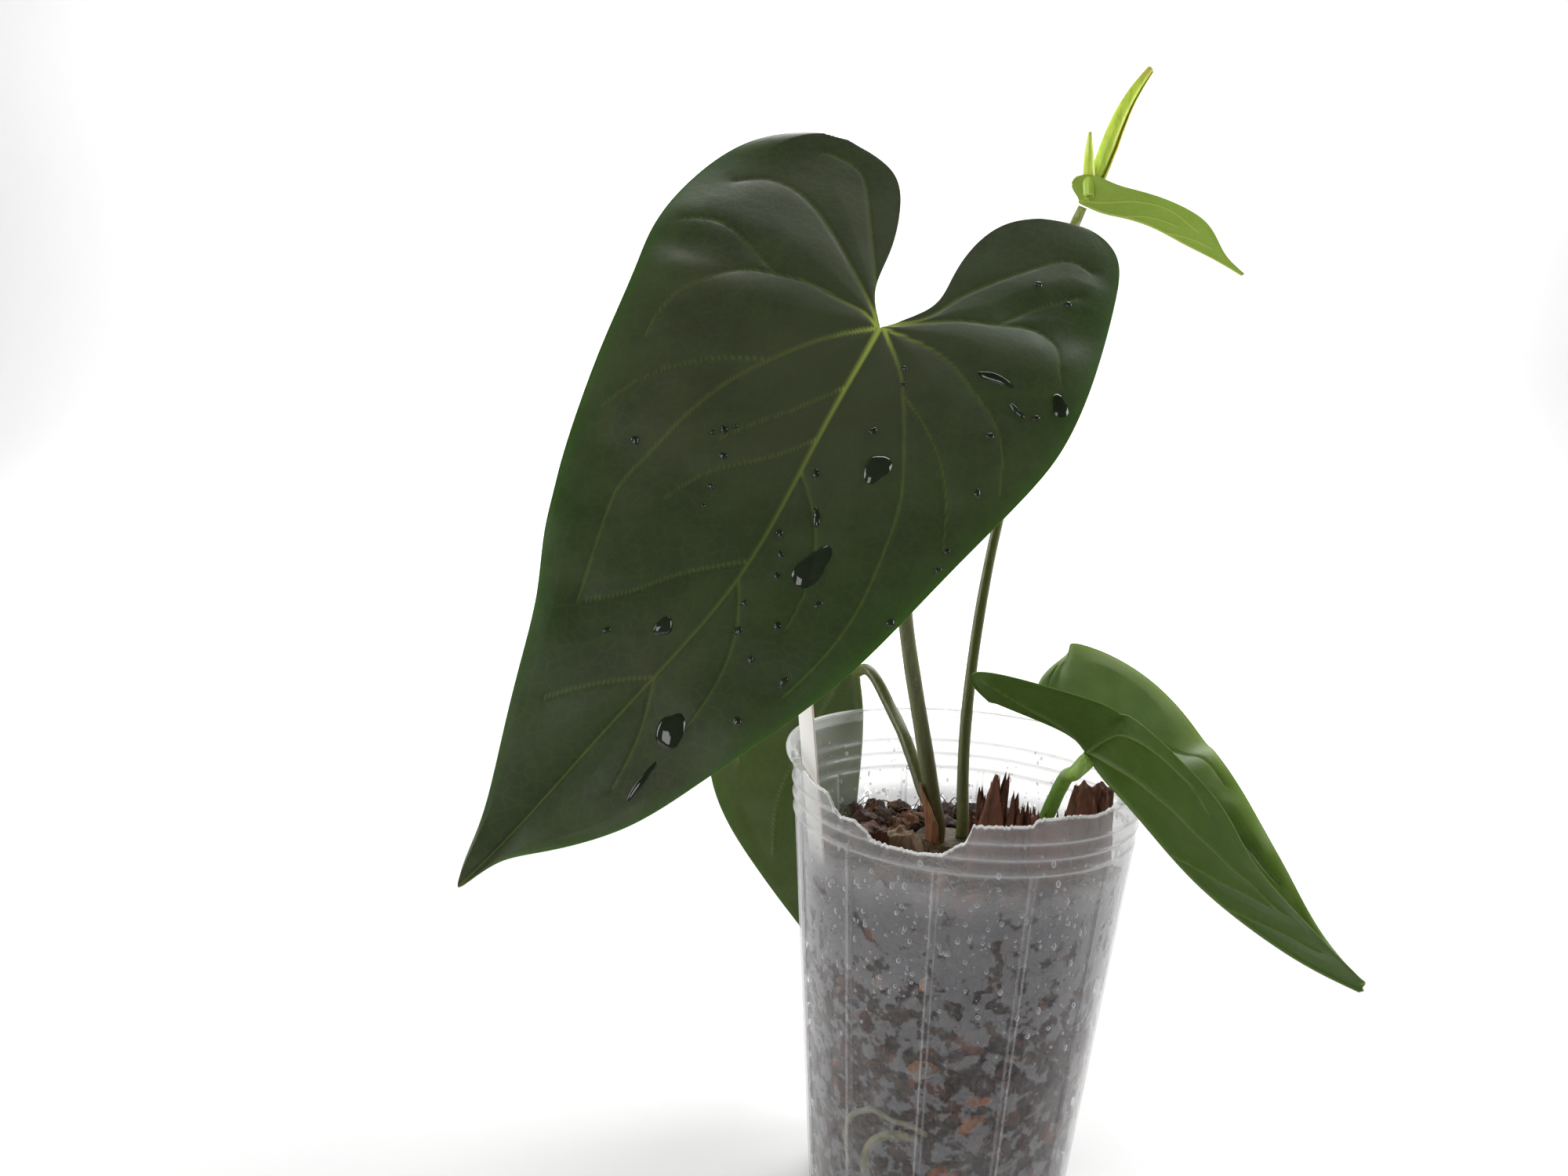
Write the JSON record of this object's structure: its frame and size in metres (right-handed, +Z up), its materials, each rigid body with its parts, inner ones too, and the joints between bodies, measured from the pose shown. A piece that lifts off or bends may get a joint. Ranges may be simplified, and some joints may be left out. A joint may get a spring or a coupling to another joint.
{
  "type": "potted anthurium",
  "caption": "Velvet-leaved anthurium with three heart-shaped leaves and an unfurling one, growing in a clear ribbed plastic nursery pot with a torn rim",
  "frame": {"origin": "centre of the underside of the pot, on its axis", "axes": "+Z up; the torn front of the rim faces -Y; +X to the right of someone facing it"},
  "size_m": [0.2104, 0.2307, 0.3418],
  "materials": {
    "clear_plastic": "thin clear polypropylene, slightly cloudy and wet inside",
    "growing_mix": "damp coconut husk and bark, matte",
    "crown": "brown, rough",
    "front_leaf": "velvety dark green leaf with a soft sheen",
    "front_petiole": "satin olive green stem",
    "right_leaf": "satin mid green leaf, paler underside",
    "right_petiole": "satin bright green stem",
    "rear_leaf": "satin mid green leaf, underside towards the front",
    "rear_petiole": "satin green stem",
    "young_leaf": "satin yellow-green young leaf with bronze margins",
    "young_petiole": "satin olive to yellow-green stem",
    "cataphyll": "dry papery tan sheath",
    "root": "moist grey-green root",
    "label": "plain white plastic tag, unmarked",
    "dark_husk": "wet dark bark",
    "brown_husk": "red-brown coconut husk",
    "pale_husk": "pale tan husk chip",
    "stick": "dark twig"
  },
  "bodies": {
    "root": {"pot": "clear_plastic", "growing_mix": "growing_mix", "crown": "crown", "front_leaf_blade": "front_leaf", "front_leaf_petiole": "front_petiole", "right_leaf_blade": "right_leaf", "right_leaf_petiole": "right_petiole", "rear_leaf_blade": "rear_leaf", "rear_leaf_petiole": "rear_petiole", "young_leaf_blade": "young_leaf", "young_leaf_petiole": "young_petiole", "cataphyll": "cataphyll", "upper_root": "root", "lower_root": "root", "plant_label": "label", "husk_spike_shard": "dark_husk", "husk_brown_block": "brown_husk", "husk_pale_chip": "pale_husk", "husk_right_shard": "brown_husk", "husk_low_chip": "dark_husk", "husk_rear_chip": "dark_husk", "husk_left_chip": "dark_husk", "dark_stick": "stick", "husk_twig": "stick"}
  },
  "joints": []
}
